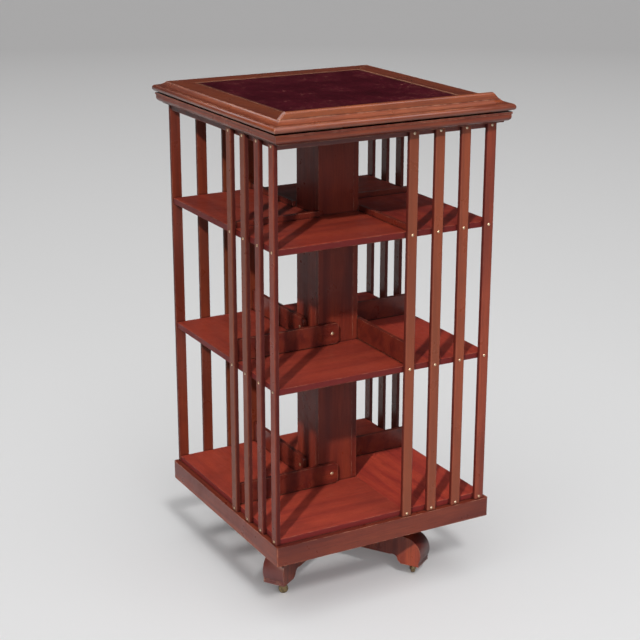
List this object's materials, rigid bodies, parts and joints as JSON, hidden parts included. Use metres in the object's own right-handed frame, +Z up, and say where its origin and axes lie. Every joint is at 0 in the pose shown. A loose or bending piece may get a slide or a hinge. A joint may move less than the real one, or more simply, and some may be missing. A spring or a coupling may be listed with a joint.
{
  "type": "revolving bookcase",
  "caption": "Floor-standing revolving bookcase: slatted open tiers round a box column, turning on a cross base with castors, under a hinged leather-lined book slope.",
  "frame": {"origin": "on the floor below the spin axis, at the centre of the footprint", "axes": "+Z up along the spin axis; the front, where the top is hinged and the book ledge stands, faces -Y; +X to the right seen from the front"},
  "size_m": [0.568, 0.596, 1.118],
  "materials": {
    "mahogany": "french polished mahogany",
    "pine": "plain stained inner timber",
    "leather": "waxed dark red leather",
    "brass": "aged brass",
    "steel": "plain turned steel"
  },
  "bodies": {
    "base": {"base_arm_a": "mahogany", "base_arm_b": "mahogany", "spindle": "steel", "castor_plates": "brass"},
    "case": {"plinth_rail_front": "mahogany", "plinth_rail_right": "mahogany", "plinth_rail_back": "mahogany", "plinth_rail_left": "mahogany", "plinth_bearers": "pine", "bottom_board": "mahogany", "middle_shelf": "mahogany", "upper_shelf": "mahogany", "top_deck": "pine", "column_panel_front": "mahogany", "column_panel_right": "mahogany", "column_panel_back": "mahogany", "column_panel_left": "mahogany", "pivot_block": "pine", "guide_block": "pine", "slat_front_1": "mahogany", "slat_right_1": "mahogany", "slat_back_1": "mahogany", "slat_left_1": "mahogany", "slat_front_2": "mahogany", "slat_right_2": "mahogany", "slat_back_2": "mahogany", "slat_left_2": "mahogany", "slat_front_3": "mahogany", "slat_right_3": "mahogany", "slat_back_3": "mahogany", "slat_left_3": "mahogany", "slat_front_4": "mahogany", "slat_right_4": "mahogany", "slat_back_4": "mahogany", "slat_left_4": "mahogany", "slat_screws": "brass", "dividers_middle": "mahogany", "dividers_bottom": "mahogany", "divider_screws": "brass", "divider_strips": "mahogany", "cornice": "mahogany", "bearer_frame": "pine", "hinge_leaves_fixed": "brass", "strut_rack": "pine"},
    "top": {"top_frame": "mahogany", "top_core": "pine", "leather_panel": "leather", "book_ledge": "mahogany", "hinge_leaves_moving": "brass", "strut_bracket": "mahogany"},
    "strut": {"strut": "mahogany"},
    "castor_fork_1": {"castor_fork_1": "brass"},
    "castor_wheel_1": {"castor_wheel_1": "brass"},
    "castor_fork_2": {"castor_fork_2": "brass"},
    "castor_wheel_2": {"castor_wheel_2": "brass"},
    "castor_fork_3": {"castor_fork_3": "brass"},
    "castor_wheel_3": {"castor_wheel_3": "brass"},
    "castor_fork_4": {"castor_fork_4": "brass"},
    "castor_wheel_4": {"castor_wheel_4": "brass"}
  },
  "joints": [
    {"name": "case_spin", "type": "hinge", "parent": "base", "child": "case", "pos_m": [0, 0, 0.142], "axis": [0, 0, 1], "continuous": true},
    {"name": "top_tilt", "type": "hinge", "parent": "case", "child": "top", "pos_m": [0, -0.288, 1.0801], "axis": [1, 0, 0], "range_deg": [0, 35]},
    {"name": "strut_fold", "type": "hinge", "parent": "top", "child": "strut", "pos_m": [0, -0.048, 1.0735], "axis": [1, 0, 0], "range_deg": [-94.5, 0]},
    {"name": "castor_swivel_1", "type": "hinge", "parent": "base", "child": "castor_fork_1", "pos_m": [0.12363, -0.19038, 0.03], "axis": [0, 0, 1], "continuous": true},
    {"name": "castor_roll_1", "type": "hinge", "parent": "castor_fork_1", "child": "castor_wheel_1", "pos_m": [0.12744, -0.18222, 0.0108], "axis": [-0.9063, 0.4226, 0], "continuous": true},
    {"name": "castor_swivel_2", "type": "hinge", "parent": "base", "child": "castor_fork_2", "pos_m": [0.19038, 0.12363, 0.03], "axis": [0, 0, 1], "continuous": true},
    {"name": "castor_roll_2", "type": "hinge", "parent": "castor_fork_2", "child": "castor_wheel_2", "pos_m": [0.18588, 0.13143, 0.0108], "axis": [-0.866, -0.5, 0], "continuous": true},
    {"name": "castor_swivel_3", "type": "hinge", "parent": "base", "child": "castor_fork_3", "pos_m": [-0.12363, 0.19038, 0.03], "axis": [0, 0, 1], "continuous": true},
    {"name": "castor_roll_3", "type": "hinge", "parent": "castor_fork_3", "child": "castor_wheel_3", "pos_m": [-0.13209, 0.1873, 0.0108], "axis": [0.342, -0.9397, 0], "continuous": true},
    {"name": "castor_swivel_4", "type": "hinge", "parent": "base", "child": "castor_fork_4", "pos_m": [-0.19038, -0.12363, 0.03], "axis": [0, 0, 1], "continuous": true},
    {"name": "castor_roll_4", "type": "hinge", "parent": "castor_fork_4", "child": "castor_wheel_4", "pos_m": [-0.18192, -0.12671, 0.0108], "axis": [0.342, 0.9397, 0], "continuous": true}
  ],
  "couplings": [
    {"joint": "strut_fold", "follows": "top_tilt", "ratio": -2.7}
  ]
}
